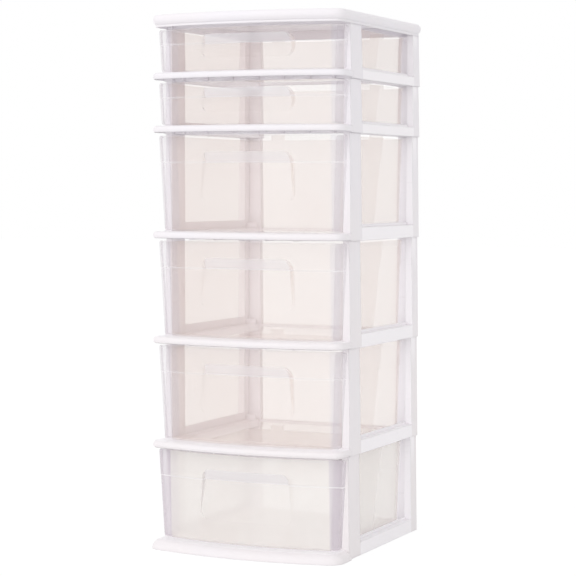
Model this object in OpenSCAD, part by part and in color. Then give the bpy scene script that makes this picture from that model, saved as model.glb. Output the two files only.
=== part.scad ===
// Plastic drawer tower: six stacked tier frames, six clear drawers and a top cover.
// Millimetres, Z up, +Y to the back. The origin is the middle of the footprint, on the floor.
// Inside a tier, Y = 0 is the front face of the front posts and Z = 0 is the foot of the tier.

/* [Tower] */
// Width over the posts at the foot of a tier
tower_w = 320; // [290:1:380]
// Depth from the front of the front posts to the back of the rear posts
tower_d = 290; // [250:1:360]
// Height of a deep tier
deep_h = 165; // [130:0.5:220]
// Height of a shallow tier
shallow_h = 82.5; // [76:0.5:110]
// Height of the lowest tier, which is deep too
base_h = 159; // [130:0.5:220]

/* [Frame] */
// Wall of the white frames
frame_wall = 2.2; // [1.8:0.1:2.8]
// Width of a post, seen from the front at the foot of a tier
post_w = 12.9; // [11:0.1:16]
// How far the outer face of a post leans in from its foot to its top
post_lean = 2.5; // [1.5:0.1:3.5]
// Depth of a front post at its foot
front_post_d = 45; // [34:0.5:60]
// Depth of the side leg of a rear post
rear_leg_d = 26; // [20:0.5:36]
// Thickness of the back flange of a rear post
rear_flange_d = 10; // [8:0.5:14]
// Reach of the back flange of a rear post towards the middle
rear_flange_w = 20.5; // [10:0.5:30]
// Height of the bar across the back, whose top is level with the ledges
back_bar_h = 5; // [3.5:0.5:8]
// Height of the plug on top of each post
plug_h = 10; // [6:0.5:14]
// Gap on each side between a plug and its socket
plug_gap = 0.3; // [0.2:0.05:0.5]

/* [Front lip] */
// Height of the rounded front lip, which is also the height of the drawer ledges
lip_h = 12; // [10:0.5:16]
// Reach of the middle of the lip in front of the posts
lip_reach = 66; // [56:0.5:80]
// Radius of the bow of the lip
bow_r = 600; // [450:10:900]
// Radius of the lip's corners, seen from above
lip_corner_r = 19; // [14:0.5:26]
// Overhang of the lip outside each post
lip_over = 3.4; // [2:0.1:6]
// Depth of the lip's deck behind the front of the posts
deck_back = 10; // [6:0.5:20]
// Height of the quarter-round skirt of the lowest lip, and of the ledges behind it
skirt_h = 15; // [13:0.5:18]
// Reach of the foot of the skirt in front of the upper lips
skirt_reach = 5; // [2:0.5:10]
// Radius of the skirt's corners at the floor
skirt_corner_r = 24; // [20:0.5:32]
// Overhang of the skirt outside each post
skirt_over = 4; // [2:0.1:6]

/* [Side rails] */
// Height of the outer rail of a deep tier
deep_rail_h = 20.5; // [16:0.5:26]
// Height of the outer rail of a shallow tier
shallow_rail_h = 15; // [13:0.5:19]
// Rise of the inner guide wall above the outer rail
guide_rise = 4.5; // [3:0.5:12]
// Width of the ledge that carries a drawer
ledge_w = 19; // [12:0.5:26]

/* [Top cover] */
// Height of the cover
cover_h = 19; // [15:0.5:26]
// Height of the set-back collar under the cover's rounded edge
collar_h = 4; // [2:0.5:6]
// Reach of the cover's rounded edge beyond its collar
cover_nose = 4.5; // [3:0.1:6]
// Radius of the cover's rear corners
cover_corner_r = 12.5; // [10:0.5:18]
// Radius of the corners of the tray in the top
tray_corner_r = 10; // [4:0.5:20]
// Depth of the shallow tray in the top
tray_depth = 1.2; // [0.5:0.1:1.5]
// Width of the rim around the tray
tray_rim = 14; // [8:0.5:24]

/* [Drawer] */
// Wall of the clear drawers
drawer_wall = 1.8; // [1.4:0.1:2.4]
// Gap between a drawer's rim and the posts on each side
side_gap = 1.6; // [1:0.1:3]
// Gap under a drawer, above its ledges
ledge_gap = 0.3; // [0.2:0.05:0.6]
// Lean of the tub's walls, in millimetres for each millimetre of height
tub_lean = 0.03; // [0.02:0.005:0.05]
// Distance from the back of the tub's rim to the back of the frame
tub_back_gap = 14; // [12:0.5:60]
// Radius of the tub's rear corners, taken at its rim
tub_corner_r = 27; // [22:1:50]
// Drop of the tub's rim below the top of the tier
rim_drop = 4.2; // [3.5:0.1:7]
// Height of the bead around the rim
bead_h = 4; // [3:0.1:6]
// How far the bead stands out
bead_out = 1.2; // [0.8:0.1:1.4]
// How far the walls above the crease stand out from those below it
crease_step = 0.8; // [0.4:0.1:1.2]
// Size of the slanted edge round the tub's floor
foot_edge = 2.5; // [1.5:0.1:4]

/* [Drawer front] */
// Distance from the lip's nose back to the drawer front
front_setback = 23; // [18:0.5:32]
// Lean of the front, in millimetres for each millimetre of height
front_lean = 0.029; // [0.01:0.001:0.05]
// Lean of the front's side edges, in millimetres for each millimetre of height
edge_lean = 0.06; // [0.02:0.005:0.08]
// Gap between the drawer front's top edge and the top of the tier
front_top_gap = 3; // [2:0.1:5]
// Gap between the drawer front's lower edge and the lip
front_foot_gap = 1.5; // [1:0.1:3]
// How far each end of the front's top edge stops short of the tower's half width
edge_inset = 0.3; // [0:0.1:3]
// Depth of the rim that runs round the back of the front
front_rim_d = 8; // [5:0.5:11]
// Radius of the front's corners
front_corner_r = 4; // [2:0.5:8]

/* [Finger scoop] */
// Width of the scoop at its top
scoop_w = 145; // [110:1:180]
// How much wider the scoop is at its foot
scoop_spread = 14; // [0:1:24]
// Depth of the scoop
scoop_d = 12; // [8:0.5:15]
// Drop of the scoop's top edge on a deep drawer
deep_scoop_drop = 28.5; // [22:0.5:40]
// Height of the sloping roof of the scoop on a deep drawer
deep_roof_h = 16.5; // [12:0.5:22]
// Drop of the scoop's top edge on a shallow drawer
shallow_scoop_drop = 12.5; // [10:0.5:16]
// Height of the sloping roof of the scoop on a shallow drawer
shallow_roof_h = 14; // [10:0.5:18]
// Distance below the top of a deep tier at which the scoop runs out
deep_scoop_end = 107; // [80:1:115]
// Distance below the top of a shallow tier at which the scoop runs out
shallow_scoop_end = 50; // [42:0.5:58]
// Radius of the scoop's upper corners
scoop_corner_r = 15; // [8:0.5:20]

/* [Drawer stop] */
// Distance of each stop tab from the middle of the drawer
tab_x = 90; // [50:1:100]
// Width of a stop tab
tab_w = 24; // [14:1:36]
// Height of a stop tab above the top of the tier
tab_rise = 4.5; // [3:0.1:6]
// Gap left between a tab and its stop when the drawer is fully open
tab_gap = 1; // [0.5:0.1:2]
// Gap left behind the tub's rear corners when the drawer is closed
stop_gap = 0.8; // [0.4:0.1:2]

/* [Hidden] */
$fn = 96;
bow_fn = 720;
arc_steps = 8;
// Turn of the skirt's round, which ends just short of level where it meets the deck
skirt_turn = 87;
bow_steps = 16;
// Overlap that fuses two shapes of one piece, or clears a cut
fuse = 1;
// Step, and overlap in degrees, where the stretches of a swept edge join
seam = 0.05;
seam_angle = 1.5;

white_plastic = "white";
clear_plastic = [0.95, 0.93, 0.91, 0.45];

// Heights of the tiers' feet, from the floor up
foot_6 = 0;
foot_5 = foot_6 + base_h;
foot_4 = foot_5 + deep_h;
foot_3 = foot_4 + deep_h;
foot_2 = foot_3 + deep_h;
foot_1 = foot_2 + shallow_h;
foot_cover = foot_1 + shallow_h;

// Frame
half_w = tower_w / 2;
inner_x = half_w - post_w;
top_x = half_w - post_lean;
guide_x = inner_x + frame_wall;
ledge_x = inner_x - ledge_w;
flange_x = inner_x - rear_flange_w;
flange_y = tower_d - rear_flange_d;
leg_y = tower_d - rear_leg_d;
bow_y = bow_r - lip_reach;
nose_r = lip_h / 2;
lip_path_x = half_w + lip_over - nose_r;
lip_path_r = bow_r - nose_r;
lip_path_corner = lip_corner_r - nose_r;
skirt_path_x = half_w + skirt_over - skirt_h;
skirt_path_r = bow_r + skirt_reach - skirt_h;
skirt_path_corner = skirt_corner_r - skirt_h;
cover_path_x = half_w + lip_over - cover_nose;
cover_path_r = bow_r - cover_nose;
cover_path_corner = lip_corner_r - cover_nose;
cover_rear_corner = cover_corner_r - cover_nose;
centre_y = (tower_d + cover_nose - lip_reach - skirt_reach) / 2;
plug_inset = frame_wall + plug_gap;
cover_step = 0.3;
rib_t = 1.6;
rib_step = 44;

// Drawer
rim_x = inner_x - side_gap;
rim_y = tower_d - tub_back_gap;
corner_x = rim_x - bead_out - tub_corner_r;
tub_corner_y = rim_y - bead_out - tub_corner_r;
wall_y = rim_y - bead_out;
front_r = bow_r - front_setback;
front_x = half_w - edge_inset;
// Lengths of the scoop's sloping roof and floor, drawn on past the face, against their real ones
scoop_over = 1.4;
scoop_under = 1.2;
// Travel of a drawer and height of the tower
travel = wall_y - drawer_wall - deck_back - tab_gap;
tower_h = foot_cover + cover_h;
echo(travel = travel, tower_h = tower_h, centre_y = centre_y);

// Extrudes a profile drawn in X and Z from y0 to y1
module along_y(y0, y1) {
    translate([0, y1, 0]) rotate([90, 0, 0]) linear_extrude(y1 - y0) children();
}

// Extrudes a profile drawn in Y and Z from x0 to x1
module along_x(x0, x1) {
    translate([x0, 0, 0]) rotate([90, 0, 90]) linear_extrude(x1 - x0) children();
}

module both_sides() {
    children();
    mirror([1, 0, 0]) children();
}

// Centre of the small corner arc that joins a bow of radius r to a straight side at x
function corner_y(r, x, corner) = bow_y - sqrt(pow(r - corner, 2) - pow(x - corner, 2));
function corner_angle(r, x, corner) = asin((x - corner) / (r - corner));

// Sweeps an edge, drawn outwards in X and up in Y and shrunk by inset, along the front bow, its
// corners and its sides. The corners are smaller by the seam and reach a little into the rest.
module sweep_front(edge, inset, r, x, corner, side_end) {
    turn = corner_angle(r, x, corner);
    y = corner_y(r, x, corner);
    translate([0, bow_y, 0])
        rotate([0, 0, 270 - turn])
            rotate_extrude(angle = 2 * turn, $fn = bow_fn) translate([r, 0]) edge_area(edge, inset);
    both_sides() {
        translate([x - corner, y, 0])
            rotate([0, 0, 270 + turn - seam_angle])
                rotate_extrude(angle = 90 - turn + 2 * seam_angle)
                    translate([corner, 0]) edge_area(edge, inset + seam);
        along_y(y, side_end) translate([x, 0]) edge_area(edge, inset);
    }
}

function arc(centre, r, a0, a1, steps = arc_steps) = [
    for (i = [0 : steps]) let (a = a0 + (a1 - a0) * i / steps) centre + r * [cos(a), sin(a)]
];

// Left half of an outline, from the right half's points
function mirrored(points) = [for (i = [len(points) - 1 : -1 : 0]) [-points[i][0], points[i][1]]];

// Right half of that path, from the middle of the bow to its side
function bow_points(r, x, corner) = let (turn = corner_angle(r, x, corner)) concat(
    arc([0, bow_y], r, -90, turn - 90, bow_steps),
    arc([x - corner, corner_y(r, x, corner)], corner, turn - 90, 0)
);

// Plan of the area inside that path, back to y_end
module front_plan(r, x, corner, y_end) {
    points = concat(bow_points(r, x, corner), [[x, y_end]]);
    polygon(concat(points, mirrored(points)));
}

// ---- Frames ----

// Front post, shrunk by inset on every side but its foot
module front_post(h, inset) {
    foot = inset > 0 ? -fuse : 0;
    intersection() {
        along_y(inset, front_post_d) polygon([
            [inner_x + inset, foot],
            [half_w - inset, foot],
            [top_x - inset, h - inset],
            [inner_x + inset, h - inset]
        ]);
        along_x(inner_x, half_w) polygon([
            [0, foot],
            [front_post_d - inset, foot],
            [front_post_d - post_lean - inset, h],
            [0, h]
        ]);
    }
}

// Rear post: a side leg and a back flange, shrunk by inset on every side but its foot
module rear_post(h, inset) {
    foot = inset > 0 ? -fuse : 0;
    along_y(leg_y + inset, tower_d - inset) polygon([
        [inner_x + inset, foot],
        [half_w - inset, foot],
        [top_x - inset, h - inset],
        [inner_x + inset, h - inset]
    ]);
    along_y(flange_y + inset, tower_d - inset) polygon([
        [flange_x - post_lean + inset, foot],
        [inner_x + inset + fuse, foot],
        [inner_x + inset + fuse, h - inset],
        [flange_x + inset, h - inset]
    ]);
}

// Plugs on the post tops, which the next tier's hollow posts or the cover's sockets sit over.
// The rear ones end where the cover's corners begin to turn.
module post_plugs(z, gap) {
    x0 = inner_x + plug_inset - gap;
    plug_x = top_x - frame_wall + gap - x0;
    y0 = plug_inset - gap;
    front_y = front_post_d - post_lean - plug_inset;
    rear_y = rear_leg_d - plug_inset - cover_rear_corner;
    translate([x0, y0, z - fuse]) cube([plug_x, front_y - plug_inset + 2 * gap, plug_h + fuse + gap]);
    translate([x0, leg_y + y0, z - fuse]) cube([plug_x, rear_y + 2 * gap, plug_h + fuse + gap]);
}

// Side rail: hollow outer rail, inner guide wall and the ledge that carries the drawer
module side_rail(h, rail_h, deck_h) {
    rail_x = half_w - post_lean * rail_h / h;
    along_y(front_post_d - frame_wall, leg_y + fuse) difference() {
        polygon([[inner_x, 0], [half_w, 0], [rail_x, rail_h], [inner_x, rail_h]]);
        polygon([
            [guide_x, -fuse],
            [half_w - frame_wall, -fuse],
            [rail_x - frame_wall, rail_h - frame_wall],
            [guide_x, rail_h - frame_wall]
        ]);
    }
    translate([inner_x, 0, 0]) cube([frame_wall, flange_y + fuse, rail_h + guide_rise]);
    translate([ledge_x, 0, deck_h - frame_wall]) cube([ledge_w + fuse, flange_y + fuse, frame_wall]);
    translate([ledge_x, 0, 0]) cube([frame_wall, flange_y + fuse, deck_h]);
}

// Small wall across each ledge, behind the tub's rear corner, that stops a closed drawer
module closed_stop(h, rail_h, deck_h) {
    r = tub_corner_r - tub_lean * (h - rim_drop - rail_h) - crease_step;
    stop_y = tub_corner_y + sqrt(pow(r, 2) - pow(ledge_x - corner_x, 2)) + stop_gap;
    translate([ledge_x, stop_y, 0]) cube([ledge_w + fuse, frame_wall, rail_h]);
}

// Bar across the back, open underneath
module rear_bar(deck_h) {
    foot = deck_h - back_bar_h;
    along_x(-flange_x - fuse, flange_x + fuse) difference() {
        translate([flange_y, foot]) square([rear_flange_d, back_bar_h]);
        translate([flange_y + frame_wall, foot - fuse])
            square([rear_flange_d - 2 * frame_wall, back_bar_h - frame_wall + fuse]);
    }
}

// The wall that the stop tabs of the drawer below meet
module stop_wall(height) {
    translate([-inner_x - fuse, deck_back - frame_wall, 0])
        cube([2 * (inner_x + fuse), frame_wall, height]);
}

// Stiffening ribs under a deck, from the nose back to the stop wall
module deck_ribs(r, height) {
    count = floor((inner_x - rib_step / 2) / rib_step);
    for (i = [-count : count]) {
        x = i * rib_step;
        nose_y = bow_y - sqrt(pow(r, 2) - pow(x, 2));
        translate([x - rib_t / 2, nose_y, 0]) cube([rib_t, deck_back - fuse - nose_y, height]);
    }
}

// Area of an edge outside its path, shrunk by inset: the half-round nose of the upper lips, the
// quarter-round skirt of the lowest one, or the cover's set-back collar with a rounded nose above
module edge_area(edge, inset) {
    if (edge == "nose") {
        intersection() {
            translate([0, nose_r]) circle(nose_r - inset);
            translate([0, -fuse]) square(lip_h + 2 * fuse);
        }
        translate([-fuse, inset]) square([fuse, lip_h - 2 * inset]);
    }
    if (edge == "skirt") {
        round = arc([0, 0], skirt_h - inset, 0, skirt_turn);
        polygon(concat([[-fuse, 0]], round, [[-fuse, skirt_h - inset]]));
    }
    if (edge == "cover") {
        reach = cover_nose - cover_step;
        half = (cover_h - collar_h) / 2;
        r = (pow(half, 2) + pow(reach, 2)) / (2 * reach);
        translate([-fuse, 0]) square([fuse - inset, collar_h + fuse]);
        intersection() {
            translate([cover_nose - r, collar_h + half]) circle(r - inset);
            translate([-fuse, collar_h + inset]) square([2 * r, 2 * (half - inset)]);
        }
    }
}

// Deck with the stop wall: solid inside the path, down to its foot
module deck_block(r, x, corner, height) {
    inset = fuse / 2;
    linear_extrude(height) front_plan(r - inset, x - inset, corner - inset, fuse);
    translate([-inner_x - fuse, 0, 0]) cube([2 * (inner_x + fuse), deck_back, height]);
}

// Hollow under a deck, with an upright wall all round at reach outside the path
module deck_hollow(r, x, corner, reach, height) {
    translate([0, 0, -fuse]) linear_extrude(height - frame_wall + fuse)
        front_plan(r + reach, x + reach, corner + reach, -frame_wall);
    translate([-inner_x, -2 * frame_wall, -fuse])
        cube([2 * inner_x, deck_back + frame_wall, height - frame_wall + fuse]);
}

// Front lip of the upper tiers: a half-round nose with its deck and ribs
module upper_lip() {
    difference() {
        union() {
            sweep_front("nose", 0, lip_path_r, lip_path_x, lip_path_corner, fuse);
            deck_block(lip_path_r, lip_path_x, lip_path_corner, lip_h);
        }
        deck_hollow(lip_path_r, lip_path_x, lip_path_corner, nose_r - frame_wall, lip_h);
    }
    deck_ribs(lip_path_r, lip_h - fuse);
}

// Front lip of the lowest tier: a skirt that spreads to the floor, with its deck and ribs
module skirt_lip() {
    wall_reach = sqrt(pow(skirt_h, 2) - pow(skirt_h - frame_wall, 2)) - frame_wall;
    difference() {
        union() {
            sweep_front("skirt", 0, skirt_path_r, skirt_path_x, skirt_path_corner, fuse);
            deck_block(skirt_path_r, skirt_path_x, skirt_path_corner, skirt_h);
        }
        deck_hollow(skirt_path_r, skirt_path_x, skirt_path_corner, wall_reach, skirt_h);
    }
    deck_ribs(skirt_path_r, skirt_h - fuse);
}

// One tier: its lip as the child, with deck, side rails, back bar and four hollow posts with plugs
module tier_frame(h, rail_h, deck_h) {
    difference() {
        union() {
            children();
            rear_bar(deck_h);
            both_sides() {
                front_post(h, 0);
                rear_post(h, 0);
                side_rail(h, rail_h, deck_h);
                closed_stop(h, rail_h, deck_h);
            }
        }
        both_sides() {
            front_post(h, frame_wall);
            rear_post(h, frame_wall);
        }
    }
    both_sides() post_plugs(h, 0);
}

// ---- Top cover ----

// Plan of the cover inside the path of its edge, drawn in by inset
module cover_plan(inset, front_corner, rear_corner) {
    x = cover_path_x - inset;
    y = tower_d - inset;
    points = concat(
        bow_points(cover_path_r - inset, x, front_corner),
        arc([x - rear_corner, y - rear_corner], rear_corner, 0, 90)
    );
    polygon(concat(points, mirrored(points)));
}

// Edge of the cover, swept all the way round
module cover_edge() {
    c = cover_rear_corner;
    sweep_front("cover", 0, cover_path_r, cover_path_x, cover_path_corner, tower_d - c);
    both_sides() translate([cover_path_x - c, tower_d - c, 0])
        rotate([0, 0, -seam_angle])
            rotate_extrude(angle = 90 + 2 * seam_angle) translate([c, 0]) edge_area("cover", seam);
    along_x(-cover_path_x + c, cover_path_x - c) translate([tower_d, 0]) edge_area("cover", 0);
}

// Blocks under the cover that the front and rear plugs fit into
module cover_sockets() {
    x = cover_path_x - fuse - inner_x;
    difference() {
        union() {
            translate([inner_x, 0, 0]) cube([x, front_post_d - post_lean, cover_h - frame_wall]);
            translate([inner_x, leg_y, 0]) cube([x, rear_leg_d - fuse, cover_h - frame_wall]);
        }
        post_plugs(0, plug_gap);
    }
}

module top_cover_shape() {
    inset = fuse / 2;
    plate_z = cover_h - tray_depth - frame_wall;
    difference() {
        union() {
            cover_edge();
            linear_extrude(cover_h) cover_plan(inset, cover_path_corner - inset, cover_rear_corner - inset);
        }
        translate([0, 0, -fuse]) linear_extrude(plate_z + fuse)
            cover_plan(frame_wall, cover_path_corner - frame_wall, cover_rear_corner - frame_wall);
        translate([0, 0, cover_h - tray_depth]) linear_extrude(tray_depth + fuse)
            cover_plan(tray_rim, tray_corner_r, tray_corner_r);
    }
    stop_wall(plate_z + fuse);
    both_sides() cover_sockets();
}

// ---- Drawers ----

// Upright line of a wall that leans out, with a slanted foot edge and a step out at the crease.
// r0 is the distance that the part above the crease would have at Z = 0.
function wall_line(r0, lean, z0, crease, z1) = [
    [r0 + lean * z0 - crease_step - foot_edge, z0],
    [r0 + lean * (z0 + foot_edge) - crease_step, z0 + foot_edge],
    [r0 + lean * crease - crease_step, crease],
    [r0 + lean * crease, crease],
    [r0 + lean * z1, z1]
];
function shift_x(line, dx) = [for (p = line) [p[0] + dx, p[1]]];
function foot_z(line) = line[0][1];
function top_z(line) = line[len(line) - 1][1];

// The area between the line and x
module line_area(line, x) {
    polygon(concat([[x, foot_z(line)]], line, [[x, top_z(line)]]));
}

// Solid with straight sides and back and round rear corners, all with the same upright line
module tub_solid(line) {
    both_sides() {
        along_y(-lip_reach, tub_corner_y) line_area(shift_x(line, corner_x), -fuse);
        translate([corner_x, tub_corner_y, 0]) rotate_extrude() line_area(line, 0);
    }
    along_x(-corner_x, corner_x) line_area(shift_x(line, tub_corner_y), -lip_reach);
}

// Everything behind a bowed face with the given upright line
module bow_solid(line) {
    translate([0, bow_y, 0]) rotate_extrude($fn = bow_fn) line_area(line, 0);
}

// Trapezoid with rounded corners: w0 and w1 are half widths at the foot z0 and the top z1
module round_trapezoid(w0, w1, z0, z1, r) {
    a = atan((w1 - w0) / (z1 - z0));
    x0 = w0 - r * (1 - sin(a)) / cos(a);
    x1 = w1 - r * (1 + sin(a)) / cos(a);
    polygon(concat(
        arc([x0, z0 + r], r, -90, -a),
        arc([x1, z1 - r], r, -a, 90),
        arc([-x1, z1 - r], r, 90, 180 + a),
        arc([-x0, z0 + r], r, 180 + a, 270)
    ));
}

// Outline of the drawer front, drawn in by inset
module front_outline(h, deck_h, inset) {
    z0 = deck_h + front_foot_gap;
    z1 = h - front_top_gap;
    along_y(-2 * lip_reach, 0) round_trapezoid(
        front_x - edge_lean * (z1 - z0) - inset,
        front_x - inset,
        z0 + inset,
        z1 - inset,
        front_corner_r - inset / 2
    );
}

// Hollow of the finger scoop, grown at its sides and behind its sloping roof and floor.
// Its top, the foot of its roof and its end are given as heights with the face's radius there.
module scoop(top, roof, end, grow) {
    up = top - roof;
    down = end - roof;
    shrink = [-grow, 0];
    difference() {
        along_y(-2 * lip_reach, 0) round_trapezoid(
            (scoop_w + scoop_spread) / 2 + grow,
            scoop_w / 2 + grow,
            end[1] - fuse,
            top[1] + fuse + grow,
            scoop_corner_r
        );
        bow_solid([
            roof + scoop_under * down + shrink,
            roof + shrink,
            roof + scoop_over * up + shrink
        ]);
    }
}

// Tab that stands up from the back of the rim and stops the open drawer
module stop_tab(z0, z1) {
    translate([tab_x - tab_w / 2, wall_y - drawer_wall, z0]) cube([tab_w, drawer_wall, z1 - z0]);
}

// One drawer, moulded in one: tub with bead, bowed front with its rim, finger scoop and stop tabs
module drawer_shape(h, deck_h, scoop_drop, roof_h, scoop_end) {
    floor_z = deck_h + ledge_gap;
    rim_z = h - rim_drop;
    bead_z = rim_z - bead_h;
    crease = h - scoop_drop - roof_h;
    top_z = h - scoop_drop;
    end_z = h - scoop_end;
    tub_r0 = tub_corner_r - tub_lean * rim_z;
    face_r0 = front_r - front_lean * (h - front_top_gap);
    bead_r0 = tub_r0 + bead_out;
    scoop_top = [face_r0 + front_lean * top_z, top_z];
    scoop_roof = [face_r0 + front_lean * crease - scoop_d, crease];
    scoop_foot = [face_r0 + front_lean * end_z - crease_step, end_z];

    module face(inset) {
        bow_solid(wall_line(face_r0 - inset, front_lean, floor_z, crease, h));
    }

    difference() {
        union() {
            intersection() {
                difference() {
                    union() {
                        tub_solid(wall_line(tub_r0, tub_lean, floor_z, crease, rim_z));
                        tub_solid([
                            [bead_r0 + tub_lean * bead_z, bead_z],
                            [bead_r0 + tub_lean * rim_z, rim_z]
                        ]);
                    }
                    tub_solid(
                        wall_line(tub_r0 - drawer_wall, tub_lean, floor_z + drawer_wall, crease, h)
                    );
                }
                face(drawer_wall / 2);
            }
            difference() {
                intersection() {
                    front_outline(h, deck_h, 0);
                    face(0);
                }
                face(front_rim_d);
                intersection() {
                    front_outline(h, deck_h, drawer_wall);
                    face(drawer_wall);
                }
            }
            intersection() {
                scoop(scoop_top, scoop_roof, scoop_foot, drawer_wall);
                face(drawer_wall / 2);
            }
        }
        scoop(scoop_top, scoop_roof, scoop_foot, 0);
    }
    both_sides() stop_tab(bead_z, h + tab_rise);
}

// ---- The pieces in their places ----

module place(foot) {
    translate([0, -centre_y, foot]) children();
}

module shallow_frame() {
    tier_frame(shallow_h, shallow_rail_h, lip_h) upper_lip();
}

module deep_frame() {
    tier_frame(deep_h, deep_rail_h, lip_h) upper_lip();
}

module shallow_drawer() {
    drawer_shape(shallow_h, lip_h, shallow_scoop_drop, shallow_roof_h, shallow_scoop_end);
}

module deep_drawer(h, deck_h) {
    drawer_shape(h, deck_h, deep_scoop_drop, deep_roof_h, deep_scoop_end);
}

module top_cover() {
    color(white_plastic) place(foot_cover) top_cover_shape();
}

module shallow_frame_1() {
    color(white_plastic) place(foot_1) shallow_frame();
}

module shallow_frame_2() {
    color(white_plastic) place(foot_2) shallow_frame();
}

module deep_frame_3() {
    color(white_plastic) place(foot_3) deep_frame();
}

module deep_frame_4() {
    color(white_plastic) place(foot_4) deep_frame();
}

module deep_frame_5() {
    color(white_plastic) place(foot_5) deep_frame();
}

module base_frame_6() {
    color(white_plastic) place(foot_6) tier_frame(base_h, deep_rail_h, skirt_h) skirt_lip();
}

module shallow_drawer_1() {
    color(clear_plastic) place(foot_1) shallow_drawer();
}

module shallow_drawer_2() {
    color(clear_plastic) place(foot_2) shallow_drawer();
}

module deep_drawer_3() {
    color(clear_plastic) place(foot_3) deep_drawer(deep_h, lip_h);
}

module deep_drawer_4() {
    color(clear_plastic) place(foot_4) deep_drawer(deep_h, lip_h);
}

module deep_drawer_5() {
    color(clear_plastic) place(foot_5) deep_drawer(deep_h, lip_h);
}

module base_drawer_6() {
    color(clear_plastic) place(foot_6) deep_drawer(base_h, skirt_h);
}

top_cover();
shallow_frame_1();
shallow_frame_2();
deep_frame_3();
deep_frame_4();
deep_frame_5();
base_frame_6();
shallow_drawer_1();
shallow_drawer_2();
deep_drawer_3();
deep_drawer_4();
deep_drawer_5();
base_drawer_6();
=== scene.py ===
"""Looks of the plastic drawer tower: white moulded frames and a cover, with six clear drawers.

Every object is in metres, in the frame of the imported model: +Z is up and +Y points to the back.
"""

import logging
import math
from dataclasses import dataclass, replace
from enum import Enum

import bpy
from mathutils import Matrix, Vector

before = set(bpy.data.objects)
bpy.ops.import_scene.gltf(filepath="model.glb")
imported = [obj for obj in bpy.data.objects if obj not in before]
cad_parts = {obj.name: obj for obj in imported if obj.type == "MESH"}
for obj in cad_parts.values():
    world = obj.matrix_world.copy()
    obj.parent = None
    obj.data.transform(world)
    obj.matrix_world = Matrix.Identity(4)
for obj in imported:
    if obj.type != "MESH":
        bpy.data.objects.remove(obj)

LOG = logging.getLogger("drawer_tower")
MM = 0.001
PLASTIC_IOR = 1.49
# A noise is about this high, and most of it is within the spread to either side.
CLOUD_MIDDLE = 0.5
CLOUD_SPREAD = 0.15
Triple = tuple[float, float, float]
Colour = Triple


class TierKind(Enum):
    """The three kinds of tier in the stack."""

    SHALLOW = "shallow"
    DEEP = "deep"
    BASE = "base"


class Maths(Enum):
    """The operations of a Math node that the finishes use."""

    ADD = "ADD"
    SUBTRACT = "SUBTRACT"
    MULTIPLY = "MULTIPLY"
    DIVIDE = "DIVIDE"
    LARGER = "MAXIMUM"
    SMALLER = "MINIMUM"
    SIZE = "ABSOLUTE"


class Wire:
    """One output in a shader graph, on which maths is written as on a number."""

    def __init__(self, graph: "Graph", socket: bpy.types.NodeSocket) -> None:
        """Wraps an output.

        Args:
            graph: The graph that holds the output's node.
            socket: The output itself.
        """
        self.graph = graph
        self.socket = socket

    def _maths(self, kind: Maths, first: "Wire | float", second: "Wire | float") -> "Wire":
        """Adds one Math node.

        Args:
            kind: The node's operation.
            first: Its first value.
            second: Its second value.

        Returns:
            The node's result.
        """
        return self.graph.node("ShaderNodeMath", {"operation": kind.value}, {0: first, 1: second})

    def __add__(self, other: "Wire | float") -> "Wire":
        """Sum of the two."""
        return self._maths(Maths.ADD, self, other)

    __radd__ = __add__

    def __sub__(self, other: "Wire | float") -> "Wire":
        """This less the other."""
        return self._maths(Maths.SUBTRACT, self, other)

    def __rsub__(self, other: "Wire | float") -> "Wire":
        """The other less this."""
        return self._maths(Maths.SUBTRACT, other, self)

    def __mul__(self, other: "Wire | float") -> "Wire":
        """Product of the two."""
        return self._maths(Maths.MULTIPLY, self, other)

    __rmul__ = __mul__

    def __truediv__(self, other: "Wire | float") -> "Wire":
        """This divided by the other."""
        return self._maths(Maths.DIVIDE, self, other)

    def __rtruediv__(self, other: "Wire | float") -> "Wire":
        """The other divided by this."""
        return self._maths(Maths.DIVIDE, other, self)

    def __abs__(self) -> "Wire":
        """This without its sign."""
        return self._maths(Maths.SIZE, self, 0.0)

    def larger(self, other: "Wire | float") -> "Wire":
        """The larger of the two."""
        return self._maths(Maths.LARGER, self, other)

    def smaller(self, other: "Wire | float") -> "Wire":
        """The smaller of the two."""
        return self._maths(Maths.SMALLER, self, other)

    def ramp(self, low: float, high: float) -> "Wire":
        """Smooth step from 0 at low to 1 at high, or the other way where low is above high.

        Args:
            low: The value that gives 0.
            high: The value that gives 1.

        Returns:
            The stepped value.
        """
        ends = {"From Min": min(low, high), "From Max": max(low, high)}
        ends |= {"To Min": float(low > high), "To Max": float(low < high)}
        settings = {"interpolation_type": "SMOOTHSTEP"}
        return self.graph.node("ShaderNodeMapRange", settings, {"Value": self, **ends})

    def above(self, edge: float, soft: float) -> "Wire":
        """A mask of what is above edge, with a soft step that reaches so far to either side of it."""
        return self.ramp(edge - soft, edge + soft)

    def below(self, edge: float, soft: float) -> "Wire":
        """A mask of what is below edge, with a soft step that reaches so far to either side of it."""
        return self.ramp(edge + soft, edge - soft)

    def near(self, centre: float, reach: float) -> "Wire":
        """A mask that is 1 at centre and fades to 0 at reach from it."""
        return abs(self - centre).ramp(reach, 0.0)


@dataclass(frozen=True)
class Clouds:
    """One layer of cloudy noise.

    Attributes:
        size: Width of one cloud, in metres.
        detail: How many finer layers it has.
        stretch: How often it repeats along each axis, against the others.
    """

    size: float
    detail: float = 2.0
    stretch: Triple = (1.0, 1.0, 1.0)


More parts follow.
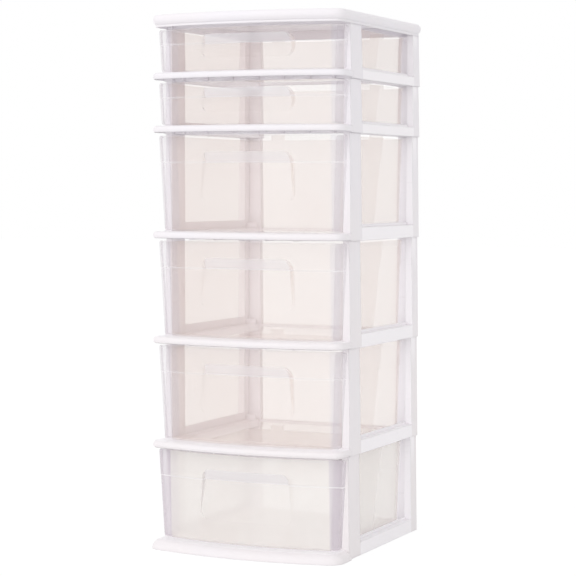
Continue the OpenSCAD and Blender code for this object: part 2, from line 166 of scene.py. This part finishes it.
class Graph:
    """The node graph of one material or of the world."""

    def __init__(self, owner: bpy.types.Material | bpy.types.World) -> None:
        """Empties the owner's graph.

        Args:
            owner: The material or world to write.
        """
        owner.use_nodes = True
        self.tree = owner.node_tree
        self.tree.nodes.clear()

    def node(
        self, kind: str, settings: dict | None = None, values: dict | None = None, output: int | str = 0
    ) -> Wire:
        """Adds one node.

        Args:
            kind: The node's type.
            settings: Its own settings, which are set first.
            values: A value or a wire for each of its inputs, by name or number.
            output: The output to return.

        Returns:
            That output.
        """
        made = self.tree.nodes.new(kind)
        for name, value in (settings or {}).items():
            setattr(made, name, value)
        for name, value in (values or {}).items():
            if isinstance(value, Wire):
                self.tree.links.new(value.socket, made.inputs[name])
            else:
                made.inputs[name].default_value = value
        return Wire(self, made.outputs[output])

    def split(self, vector: Wire) -> list[Wire]:
        """The X, Y and Z of a vector."""
        return [self.node("ShaderNodeSeparateXYZ", None, {0: vector}, axis) for axis in "XYZ"]

    def place(self) -> tuple[Wire, Wire, Wire, Wire]:
        """Where a point is on its piece, in metres.

        Returns:
            The point, then how far right, back and up it is.
        """
        point = self.node("ShaderNodeTexCoord", output="Object")
        return point, *self.split(point)

    def level_face(self) -> Wire:
        """How level a face is, from 0 for an upright wall to 1 for a shelf, whichever way it faces."""
        normal = self.node("ShaderNodeNewGeometry", output="Normal")
        return abs(self.split(normal)[2])

    def ray(self, name: str) -> Wire:
        """A mask of the rays of one kind, by the name of Light Path's output."""
        return self.node("ShaderNodeLightPath", output=name)

    def noise(self, point: Wire, clouds: Clouds) -> Wire:
        """Cloudy noise.

        Args:
            point: Where it is read.
            clouds: Its look.

        Returns:
            A value around 0.5.
        """
        settings = {"operation": "MULTIPLY"}
        scaled = self.node("ShaderNodeVectorMath", settings, {0: point, 1: clouds.stretch})
        values = {"Vector": scaled, "Scale": 1.0 / clouds.size, "Detail": clouds.detail}
        return self.node("ShaderNodeTexNoise", {"noise_dimensions": "3D"}, values)

    def blend(self, amount: Wire, first: "Wire | Colour", second: "Wire | Colour") -> Wire:
        """Mixes two colours.

        Args:
            amount: 0 for the first, 1 for the second.
            first: A colour, or a wire that holds one.
            second: The other.

        Returns:
            The mixed colour.
        """
        colours = [c if isinstance(c, Wire) else (*c, 1.0) for c in (first, second)]
        values = {"Factor": amount, 6: colours[0], 7: colours[1]}
        return self.node("ShaderNodeMix", {"data_type": "RGBA"}, values, 2)

    def bump(self, height: Wire, depth: float, normal: Wire | None = None) -> Wire:
        """Raises the surface a little.

        Args:
            height: The relief, from 0 to 1.
            depth: Its full depth, in metres.
            normal: The normal to raise, if it isn't the plain one.

        Returns:
            The new normal.
        """
        values = {"Height": height, "Distance": depth, "Strength": 1.0}
        if normal:
            values["Normal"] = normal
        return self.node("ShaderNodeBump", None, values)

    def finish(self, shader: Wire, kind: str = "ShaderNodeOutputMaterial") -> None:
        """Sends a shader to the graph's output node, of the given type."""
        output = self.tree.nodes.new(kind)
        self.tree.links.new(shader.socket, output.inputs["Surface"])


@dataclass(frozen=True)
class MouldedWhite:
    """White polypropylene of the frames and the cover: satin, with a fine mould grain.

    Attributes:
        name: What the finish is called.
        cool: Colour high up on the tower.
        warm: Colour near the floor.
        cool_from: Height above which the colour is cool.
        warm_from: Height below which it is warm.
        tone_share: How much of the change from cool to warm is cloudy instead.
        scuffed: Colour of a scuff.
        scuff_share: How much of that colour a scuff has.
        painted_rail_light: Paler colour of painted light on the side rails and on the front lips' level
            faces.
        rail_front: Where the rails start, behind the front posts.
        rail_back: Where the faces with painted light end on the outside, just past the front of the rear
            posts.
        rail_top: Where they end at the top, just above the highest frame.
        flange_front: Where they end on the inside, just past the front of the rear posts' flanges.
        post_face: How far from the middle a face is an outside one.
        shelf_back: Where the front lips' level faces end.
        soft: Half the width of the steps between these.
        level_from: How level a face has to be to count as level.
        level_soft: Half the width of the step to a level face.
        edge_round: Radius of the moulded edges.
        roughness: Roughness of the bare plastic.
        patch_roughness: How much the roughness changes from patch to patch.
        scuff_roughness: How much rougher a scuff is.
        tone: Slow change of colour.
        patch: Patches of roughness.
        flow: Flow marks of the moulding.
        flow_depth: Their depth.
        grain: Grain of the mould.
        grain_depth: Its depth.
        scuff: Long faint scuffs.
        scuff_from: How high this noise has to be for a scuff.
        scuff_soft: Half the width of the step to a scuff.
    """

    name: str = "white_plastic"
    cool: Colour = (0.86, 0.832, 0.87)
    warm: Colour = (0.865, 0.82, 0.83)
    cool_from: float = 0.8
    warm_from: float = 0.1
    tone_share: float = 0.35
    scuffed: Colour = (0.82, 0.79, 0.805)
    scuff_share: float = 0.3
    painted_rail_light: Colour = (0.96, 0.93, 0.955)
    rail_front: float = -0.066
    rail_back: float = 0.1535
    rail_top: float = 0.8195
    flange_front: float = 0.17
    post_face: float = 0.158
    shelf_back: float = -0.1
    soft: float = 0.001
    level_from: float = 0.96
    level_soft: float = 0.03
    edge_round: float = 0.0018
    roughness: float = 0.36
    patch_roughness: float = 0.12
    scuff_roughness: float = 0.08
    tone: Clouds = Clouds(0.16)
    patch: Clouds = Clouds(0.0225, 3.0)
    flow: Clouds = Clouds(0.045, 1.0, (1.0, 1.0, 2.5))
    flow_depth: float = 0.00018
    grain: Clouds = Clouds(0.0009, 3.0)
    grain_depth: float = 0.000014
    scuff: Clouds = Clouds(0.03, 6.0, (1.0, 6.0, 6.0))
    scuff_from: float = 0.68
    scuff_soft: float = 0.06

    def painted_light_faces(self, graph: Graph, across: Wire, depth: Wire, height: Wire) -> Wire:
        """A mask of the faces with painted light: the rails, the rear posts' fronts and the lips' level
        faces.

        Args:
            graph: The graph that uses it.
            across: How far right a point is.
            depth: How far back it is.
            height: How far up it is.

        Returns:
            1 on those faces, and 0 elsewhere.
        """
        flange = abs(across).below(self.post_face, self.soft / 2) * depth.below(self.flange_front, self.soft)
        painted_rail_light = flange.larger(depth.below(self.rail_back, self.soft))
        painted_rail_light = painted_rail_light * depth.above(self.rail_front, self.soft)
        shelf = graph.level_face().above(self.level_from, self.level_soft)
        shelf = shelf * depth.below(self.shelf_back, 2 * self.soft)
        return painted_rail_light.larger(shelf) * height.below(self.rail_top, self.soft)

    def material(self) -> bpy.types.Material:
        """Writes the material.

        Returns:
            The new material.
        """
        made = bpy.data.materials.new(self.name + "_looks")
        graph = Graph(made)
        point, across, depth, height = graph.place()
        cloudy = graph.noise(point, self.tone).above(CLOUD_MIDDLE, CLOUD_SPREAD)
        low = height.ramp(self.cool_from, self.warm_from)
        warmth = self.tone_share * cloudy + (1.0 - self.tone_share) * low
        plain = graph.blend(warmth, self.cool, self.warm)
        # Painted light: these faces are made paler, as though more light reached them.
        plain = graph.blend(self.painted_light_faces(graph, across, depth, height), plain, self.painted_rail_light)
        scuff = graph.noise(point, self.scuff).above(self.scuff_from, self.scuff_soft)
        patch = graph.noise(point, self.patch) - CLOUD_MIDDLE
        rounded = graph.node("ShaderNodeBevel", {"samples": 4}, {"Radius": self.edge_round})
        flowed = graph.bump(graph.noise(point, self.flow), self.flow_depth, rounded)
        shader = graph.node(
            "ShaderNodeBsdfPrincipled",
            None,
            {
                "Base Color": graph.blend(self.scuff_share * scuff, plain, self.scuffed),
                "Roughness": self.roughness + self.patch_roughness * patch + self.scuff_roughness * scuff,
                "Normal": graph.bump(graph.noise(point, self.grain), self.grain_depth, flowed),
                "IOR": PLASTIC_IOR,
            },
        )
        graph.finish(shader)
        return made


@dataclass(frozen=True)
class ClearPlastic:
    """Clear polypropylene of one drawer: a faint warm haze in a smooth, thin wall.

    The haze thickens where the wall is seen edge on, and pale lines of painted highlight stand where
    the wall steps out and along the rims, which catch the light.

    Attributes:
        name: What the finish is called.
        foot: Height of the tier's foot above the floor.
        crease: Height above the floor at which the walls step out.
        cloudy: Colour of the denser clouds in the plastic.
        pale: Colour between the clouds.
        deep: Colour of painted shade on the front's two ends, for the shaded posts behind them.
        lit: Colour of the painted highlight on the level edges and on the crease.
        haze: How much of the light one surface stops.
        tone_haze: How much the haze changes from cloud to cloud.
        most_haze: The most that a surface stops.
        slant_share: How much of the haze grows as the wall is seen edge on.
        least_slant: The slant at which it grows no further.
        rim_haze: Haze that level faces have besides.
        rim_foot: How far above the tier's foot these start, which leaves out the drawer's floor.
        level_from: How level a face has to be to count as level.
        level_soft: Half the width of the step to a level face.
        line_haze: Haze that the crease has besides.
        line_width: How far the crease's line reaches up and down.
        line_back: How far back the line reaches, which is little more than the drawer's front.
        line_soft: Half the length of its fading end.
        side_x: How far from the middle the side walls and the front's two ends start.
        clear_share: How much less haze the rear part of the right wall has.
        clear_from: Where that part starts, at the tier's foot.
        clear_lean: How far back its edge leans for each metre up.
        clear_soft: Half the width of this edge.
        corner_back: How far back the front's two ends reach.
        corner_haze: Haze that these have besides, which deepens their painted shade.
        soft: Half the width of the steps between these.
        roughness: Roughness of the plastic.
        tone_roughness: How much the roughness changes from cloud to cloud.
        tone: Clouds in the plastic.
        flow: Flow marks of the moulding.
        flow_depth: Their depth.
    """

    name: str
    foot: float
    crease: float
    cloudy: Colour = (0.775, 0.605, 0.54)
    pale: Colour = (0.805, 0.665, 0.605)
    deep: Colour = (0.66, 0.6, 0.65)
    lit: Colour = (0.86, 0.83, 0.85)
    haze: float = 0.125
    tone_haze: float = 0.03
    most_haze: float = 0.85
    slant_share: float = 0.45
    least_slant: float = 0.24
    rim_haze: float = 0.3
    rim_foot: float = 0.021
    level_from: float = 0.55
    level_soft: float = 0.2
    line_haze: float = 0.14
    line_width: float = 0.0016
    line_back: float = -0.11
    line_soft: float = 0.01
    side_x: float = 0.1365
    clear_share: float = 0.45
    clear_from: float = 0.028
    clear_lean: float = 0.19
    clear_soft: float = 0.002
    corner_back: float = -0.103
    corner_haze: float = 0.06
    soft: float = 0.0015
    roughness: float = 0.12
    tone_roughness: float = 0.1
    tone: Clouds = Clouds(0.09)
    flow: Clouds = Clouds(0.06, 1.0, (1.0, 1.0, 0.5))
    flow_depth: float = 0.0002

    def milky(self) -> "ClearPlastic":
        """The same finish, but milky and with less colour, as in the lowest drawer."""
        return replace(self, haze=0.33, cloudy=(0.875, 0.82, 0.785), pale=(0.895, 0.85, 0.82))

    def clearer_rear_part(self, across: Wire, depth: Wire, height: Wire) -> Wire:
        """A mask of the right wall's rear part, behind a leaning edge, which has less haze.

        Args:
            across: How far right a point is.
            depth: How far back it is.
            height: How far up it is.

        Returns:
            1 on that part, and 0 elsewhere.
        """
        past_edge = depth - self.clear_lean * (height - self.foot) - self.clear_from
        return past_edge.above(0.0, self.clear_soft) * across.above(self.side_x, self.soft)

    def material(self) -> bpy.types.Material:
        """Writes the material.

        Returns:
            The new material.
        """
        made = bpy.data.materials.new(self.name + "_looks")
        graph = Graph(made)
        point, across, depth, height = graph.place()
        tone = graph.noise(point, self.tone)
        # Painted highlight: a pale line along the crease, on the front only.
        line = height.near(self.crease, self.line_width) * depth.below(self.line_back, self.line_soft)
        # Painted shade: the front's two ends are darker, for the posts in shade behind them.
        shaded_corner = abs(across).above(self.side_x, self.soft) * depth.below(self.corner_back, 2 * self.soft)
        # Painted highlight: the level rims above the drawer's floor take the pale colour.
        level = graph.level_face().above(self.level_from, self.level_soft)
        level = level * height.above(self.foot + self.rim_foot, 2 * self.soft)
        slant = (1.0 - graph.node("ShaderNodeLayerWeight", output="Facing")).larger(self.least_slant)
        edge_on = 1.0 - self.slant_share + self.slant_share / slant
        cleared = 1.0 - self.clear_share * self.clearer_rear_part(across, depth, height)
        haze = (self.haze + self.tone_haze * (tone - CLOUD_MIDDLE)) * cleared * edge_on
        haze = haze + self.rim_haze * level + self.line_haze * line + self.corner_haze * shaded_corner
        body = graph.blend(tone.above(CLOUD_MIDDLE, CLOUD_SPREAD), self.cloudy, self.pale)
        body = graph.blend(shaded_corner, body, self.deep)
        shader = graph.node(
            "ShaderNodeBsdfPrincipled",
            None,
            {
                "Base Color": graph.blend(level.larger(line), body, self.lit),
                "Roughness": self.roughness + self.tone_roughness * (tone - CLOUD_MIDDLE),
                "Alpha": haze.smaller(self.most_haze),
                "Normal": graph.bump(graph.noise(point, self.flow), self.flow_depth),
                "IOR": PLASTIC_IOR,
            },
        )
        graph.finish(shader)
        return made


def dress(obj: bpy.types.Object, material: bpy.types.Material) -> None:
    """Puts one material on the whole of an object."""
    obj.data.materials.clear()
    obj.data.materials.append(material)


def let_light_through(obj: bpy.types.Object) -> None:
    """Keeps a clear piece from shading what is inside it, as clear plastic passes nearly all light."""
    obj.visible_shadow = False
    obj.visible_diffuse = False


@dataclass(frozen=True)
class TierSize:
    """Sizes of one kind of tier, in metres.

    Attributes:
        height: Height of the tier.
        crease_drop: How far below the tier's top the drawer's walls step out.
    """

    height: float
    crease_drop: float


TIER_SIZES = {
    TierKind.SHALLOW: TierSize(82.5 * MM, 26.5 * MM),
    TierKind.DEEP: TierSize(165.0 * MM, 45.0 * MM),
    TierKind.BASE: TierSize(159.0 * MM, 45.0 * MM),
}


@dataclass
class Tier:
    """One tier of the stack: its white frame and its clear drawer.

    Attributes:
        number: Its number, from the top.
        kind: What kind of tier it is.
        foot: Height of its foot above the floor.
    """

    number: int
    kind: TierKind
    foot: float

    @property
    def top(self) -> float:
        """Height of its top above the floor."""
        return self.foot + TIER_SIZES[self.kind].height

    @property
    def frame_node(self) -> str:
        """Name of the tier's frame."""
        return f"{self.kind.value}_frame_{self.number}"

    @property
    def drawer_node(self) -> str:
        """Name of the tier's drawer."""
        return f"{self.kind.value}_drawer_{self.number}"

    def clear(self) -> ClearPlastic:
        """Finish of the drawer, which is milky in the lowest tier."""
        crease = self.top - TIER_SIZES[self.kind].crease_drop
        finish = ClearPlastic(f"clear_plastic_{self.number}", self.foot, crease)
        return finish.milky() if self.kind is TierKind.BASE else finish

    def build(self, white: bpy.types.Material) -> None:
        """Dresses the tier's two pieces.

        Args:
            white: The finish of the frame.
        """
        dress(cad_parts[self.frame_node], white)
        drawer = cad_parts[self.drawer_node]
        dress(drawer, self.clear().material())
        let_light_through(drawer)
        LOG.info("tier %d: %s and %s", self.number, self.frame_node, self.drawer_node)


@dataclass(frozen=True)
class Softbox:
    """One square lamp.

    Attributes:
        name: Its name.
        place: Where it hangs.
        aim: The point that it faces.
        size: Length of its side, in metres.
        watts: Its power.
    """

    name: str
    place: Triple
    aim: Triple
    size: float
    watts: float

    def build(self) -> None:
        """Hangs the lamp."""
        data = bpy.data.lights.new(self.name, "AREA")
        data.size = self.size
        data.energy = self.watts
        made = bpy.data.objects.new(self.name, data)
        bpy.context.scene.collection.objects.link(made)
        made.location = self.place
        made.rotation_euler = (Vector(self.aim) - Vector(self.place)).to_track_quat("-Z", "Y").to_euler()


@dataclass
class Studio:
    """Floor, light and camera.

    Attributes:
        image_px: Width and height of the picture.
        focal_px: The camera's focal length, in pixels of the picture.
        sensor_mm: Width of the camera's sensor.
        eye: Where the camera stands.
        yaw: How far it is turned to the left of straight ahead.
        pitch: How far it looks down.
        roll: How far it is turned about its line of sight.
        far: How far it sees.
        floor_half: Half the floor's width.
        floor_colour: Grey level of the floor, for the light that it gives back.
        floor_glow: Strength of the plain white that the camera sees on it.
        floor_plain: Share of that white. The rest shows the object's shadow.
        sky_level: Strength of the sky's light, averaged over all directions.
        sky_front: How much stronger it is in front, and weaker at the back.
        sky_left: How much stronger it is at the left, and weaker at the right.
        sky_top: How much stronger it is overhead.
        softbox: The one lamp.
    """

    image_px: int = 576
    focal_px: float = 1913.8
    sensor_mm: float = 36.0
    eye: Triple = (1.2856, -2.79475, 0.5746)
    yaw: float = math.radians(24.637)
    pitch: float = math.radians(3.089)
    roll: float = math.radians(0.187)
    far: float = 60.0
    floor_half: float = 14.0
    floor_colour: float = 0.95
    floor_glow: float = 1.04
    floor_plain: float = 0.86
    sky_level: float = 0.845
    sky_front: float = 0.36
    sky_left: float = 0.04
    sky_top: float = 0.12
    softbox: Softbox = Softbox("front_softbox", (-0.9, -2.6, 2.1), (0.0, 0.0, 0.55), 1.6, 8.0)

    def camera(self) -> bpy.types.Object:
        """Sets the camera at the photograph's place.

        Returns:
            The camera.
        """
        data = bpy.data.cameras.new("photo_camera")
        data.sensor_width = self.sensor_mm
        data.lens = self.focal_px / self.image_px * self.sensor_mm
        data.clip_end = self.far
        made = bpy.data.objects.new("photo_camera", data)
        bpy.context.scene.collection.objects.link(made)
        ahead = Vector((-math.sin(self.yaw), math.cos(self.yaw), 0.0))
        right = Vector((math.cos(self.yaw), math.sin(self.yaw), 0.0))
        up = Vector((0.0, 0.0, 1.0))
        look = ahead * math.cos(self.pitch) - up * math.sin(self.pitch)
        crown = up * math.cos(self.pitch) + ahead * math.sin(self.pitch)
        side = right * math.cos(self.roll) + crown * math.sin(self.roll)
        top = crown * math.cos(self.roll) - right * math.sin(self.roll)
        turn = Matrix((side, top, -look)).transposed().to_4x4()
        made.matrix_world = Matrix.Translation(self.eye) @ turn
        bpy.context.scene.camera = made
        return made

    def white_rays(self, graph: Graph) -> Wire:
        """A mask of the rays that see the plain white background.

        Args:
            graph: The graph that uses it.

        Returns:
            1 for those rays, and 0 for the rays that carry light.
        """
        rays = [graph.ray(name) for name in ("Is Camera Ray", "Is Glossy Ray", "Is Transmission Ray")]
        return rays[0].larger(rays[1]).larger(rays[2])

    def floor(self) -> bpy.types.Object:
        """Lays a pale floor that shows white and keeps the object's shadow.

        Returns:
            The floor.
        """
        half = self.floor_half
        mesh = bpy.data.meshes.new("floor")
        corners = [(-half, -half, 0), (half, -half, 0), (half, half, 0), (-half, half, 0)]
        mesh.from_pydata(corners, [], [(0, 1, 2, 3)])
        made = bpy.data.objects.new("floor", mesh)
        bpy.context.scene.collection.objects.link(made)
        material = bpy.data.materials.new("pale_floor")
        graph = Graph(material)
        grey = (self.floor_colour, self.floor_colour, self.floor_colour, 1.0)
        lit = graph.node("ShaderNodeBsdfDiffuse", None, {"Color": grey})
        glow = {"Color": (1.0, 1.0, 1.0, 1.0), "Strength": self.floor_glow}
        plain = graph.node("ShaderNodeEmission", None, glow)
        share = self.white_rays(graph) * self.floor_plain
        graph.finish(graph.node("ShaderNodeMixShader", None, {0: share, 1: lit, 2: plain}))
        made.data.materials.append(material)
        return made

    def sky(self) -> None:
        """Lights the object softly from all round, in front of a white background."""
        world = bpy.data.worlds.new("soft_sky")
        bpy.context.scene.world = world
        graph = Graph(world)
        right, back, up = graph.split(graph.node("ShaderNodeTexCoord", output="Generated"))
        light = self.sky_level - self.sky_front * back - self.sky_left * right + self.sky_top * up
        plain = self.white_rays(graph)
        values = {"Color": (1.0, 1.0, 1.0, 1.0), "Strength": plain + (1.0 - plain) * light}
        graph.finish(graph.node("ShaderNodeBackground", None, values), "ShaderNodeOutputWorld")

    def build(self) -> None:
        """Sets up the whole studio."""
        self.camera()
        self.floor()
        self.sky()
        self.softbox.build()
        bpy.context.scene.view_settings.view_transform = "Standard"


@dataclass
class Tower:
    """The whole tower: its tiers and its cover.

    Attributes:
        kinds: The kind of each tier, from the top one down.
    """

    kinds: tuple[TierKind, ...] = (TierKind.SHALLOW,) * 2 + (TierKind.DEEP,) * 3 + (TierKind.BASE,)

    def build(self) -> None:
        """Dresses each tier from the floor up, then the cover."""
        white = MouldedWhite().material()
        foot = 0.0
        for number in range(len(self.kinds), 0, -1):
            tier = Tier(number, self.kinds[number - 1], foot)
            tier.build(white)
            foot = tier.top
        dress(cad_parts["top_cover"], white)
        LOG.info("top_cover, %.1f mm above the floor", foot / MM)


def main() -> None:
    """Builds the scene."""
    logging.basicConfig(level=logging.INFO, format="%(message)s")
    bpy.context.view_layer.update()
    Studio().build()
    Tower().build()


if __name__ == "__main__":
    main()
